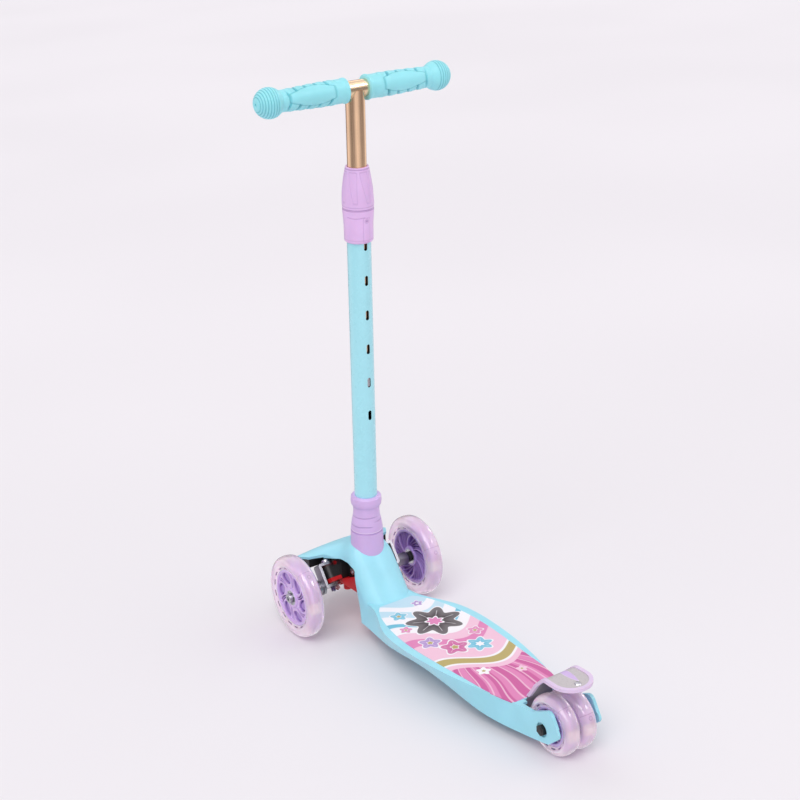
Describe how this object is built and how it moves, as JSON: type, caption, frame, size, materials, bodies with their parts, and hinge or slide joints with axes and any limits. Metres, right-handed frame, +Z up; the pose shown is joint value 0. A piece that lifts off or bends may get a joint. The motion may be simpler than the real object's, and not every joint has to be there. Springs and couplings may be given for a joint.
{
  "type": "kick scooter",
  "caption": "Child's lean-to-steer kick scooter with a height-adjustable T-bar, a moulded deck, large front wheels, a twin rear wheel and a sprung foot brake.",
  "frame": {"origin": "on the floor, under the middle of the scooter's length and width", "axes": "+Z up, +Y forward along the direction of travel, +X to the rider's right"},
  "size_m": [0.2872, 0.5692, 0.7915],
  "materials": {
    "deck_plastic": "gloss moulded",
    "mat_rubber": "satin printed mat",
    "black_plastic": "matte moulded",
    "red_plastic": "gloss moulded",
    "steel": "plated",
    "red_rubber": "matte",
    "lilac_plastic": "satin moulded",
    "blue_paint": "gloss coat",
    "chrome": "polished",
    "magnet_metal": "plain",
    "clear_tyre": "translucent cast",
    "purple_plastic": "gloss moulded",
    "light_plastic": "clear moulded",
    "grey_metal": "satin",
    "gold_metal": "brushed anodised",
    "grip_rubber": "satin moulded"
  },
  "bodies": {
    "frame": {"deck_shell": "deck_plastic", "deck_mat": "mat_rubber", "truck_upper_housing": "black_plastic", "truck_lower_cover": "red_plastic", "truck_screws": "steel", "kingpins": "steel", "kingpin_nuts": "steel", "kingpin_bushes": "red_rubber", "lean_bumpers": "red_rubber", "base_collar": "lilac_plastic", "lower_tube": "blue_paint", "stem_bolt": "steel", "lock_body": "lilac_plastic", "lock_collet": "black_plastic", "rear_axle_bolt": "steel", "rear_axle_nut": "steel", "rear_axle_spacers": "steel", "rear_magnets": "magnet_metal", "fender_pin": "steel", "fender_spring": "steel"},
    "left_knuckle": {"left_knuckle": "chrome", "left_axle_bolt": "steel", "left_axle_washer": "black_plastic", "left_magnet": "magnet_metal"},
    "right_knuckle": {"right_knuckle": "chrome", "right_axle_bolt": "steel", "right_axle_washer": "black_plastic", "right_magnet": "magnet_metal"},
    "tie_rod": {"tie_rod": "steel"},
    "left_front_wheel": {"left_front_tyre": "clear_tyre", "left_front_hub": "purple_plastic", "left_front_bearings": "steel", "left_front_coil": "magnet_metal", "left_front_lights": "light_plastic"},
    "right_front_wheel": {"right_front_tyre": "clear_tyre", "right_front_hub": "purple_plastic", "right_front_bearings": "steel", "right_front_coil": "magnet_metal", "right_front_lights": "light_plastic"},
    "left_rear_wheel": {"left_rear_tyre": "clear_tyre", "left_rear_hub": "purple_plastic", "left_rear_bearings": "steel", "left_rear_coil": "magnet_metal", "left_rear_lights": "light_plastic"},
    "right_rear_wheel": {"right_rear_tyre": "clear_tyre", "right_rear_hub": "purple_plastic", "right_rear_bearings": "steel", "right_rear_coil": "magnet_metal", "right_rear_lights": "light_plastic"},
    "brake_fender": {"fender_plate": "grey_metal", "fender_trim": "lilac_plastic", "fender_rivet": "steel"},
    "handlebar": {"upper_tube": "gold_metal", "crossbar": "gold_metal", "left_grip": "grip_rubber", "right_grip": "grip_rubber", "guide_bush": "black_plastic", "button_spring": "steel"},
    "snap_button": {"snap_button": "steel"},
    "lock_nut": {"lock_nut": "lilac_plastic"}
  },
  "joints": [
    {"name": "left_steer", "type": "hinge", "parent": "frame", "child": "left_knuckle", "pos_m": [-0.046, 0.2236, 0.076], "axis": [0, 0.5736, 0.8192], "range_deg": [-12, 12], "stiffness_Nm_per_rad": 8},
    {"name": "right_steer", "type": "hinge", "parent": "frame", "child": "right_knuckle", "pos_m": [0.046, 0.2236, 0.076], "axis": [0, 0.5736, 0.8192], "range_deg": [-12, 12], "stiffness_Nm_per_rad": 8},
    {"name": "tie_rod_pin", "type": "hinge", "parent": "left_knuckle", "child": "tie_rod", "pos_m": [-0.046, 0.25231, 0.06993], "axis": [0, 0.5736, 0.8192], "range_deg": [-12, 12]},
    {"name": "left_front_spin", "type": "hinge", "parent": "left_knuckle", "child": "left_front_wheel", "pos_m": [-0.102, 0.2246, 0.06], "axis": [1, 0, 0], "continuous": true},
    {"name": "right_front_spin", "type": "hinge", "parent": "right_knuckle", "child": "right_front_wheel", "pos_m": [0.102, 0.2246, 0.06], "axis": [1, 0, 0], "continuous": true},
    {"name": "left_rear_spin", "type": "hinge", "parent": "frame", "child": "left_rear_wheel", "pos_m": [-0.013, -0.2414, 0.04], "axis": [1, 0, 0], "continuous": true},
    {"name": "right_rear_spin", "type": "hinge", "parent": "frame", "child": "right_rear_wheel", "pos_m": [0.013, -0.2414, 0.04], "axis": [1, 0, 0], "continuous": true},
    {"name": "brake_press", "type": "hinge", "parent": "frame", "child": "brake_fender", "pos_m": [0, -0.1904, 0.044], "axis": [1, 0, 0], "range_deg": [0, 8], "stiffness_Nm_per_rad": 0.6, "springref_deg": -20.05},
    {"name": "bar_height", "type": "slide", "parent": "frame", "child": "handlebar", "axis": [0, -0.0698, 0.9976], "range_m": [-0.048, 0.19]},
    {"name": "button_press", "type": "slide", "parent": "handlebar", "child": "snap_button", "axis": [0, -0.9976, -0.0698], "range_m": [-0.003, 0], "stiffness_N_per_m": 400, "springref_m": 0.003, "deforming": ["button_spring"]},
    {"name": "lock_twist", "type": "hinge", "parent": "frame", "child": "lock_nut", "pos_m": [0, 0.15489, 0.6456], "axis": [0, -0.0698, 0.9976], "range_deg": [0, 120]}
  ],
  "couplings": [
    {"joint": "right_steer", "follows": "left_steer", "ratio": 1},
    {"joint": "tie_rod_pin", "follows": "left_steer", "ratio": -1}
  ]
}
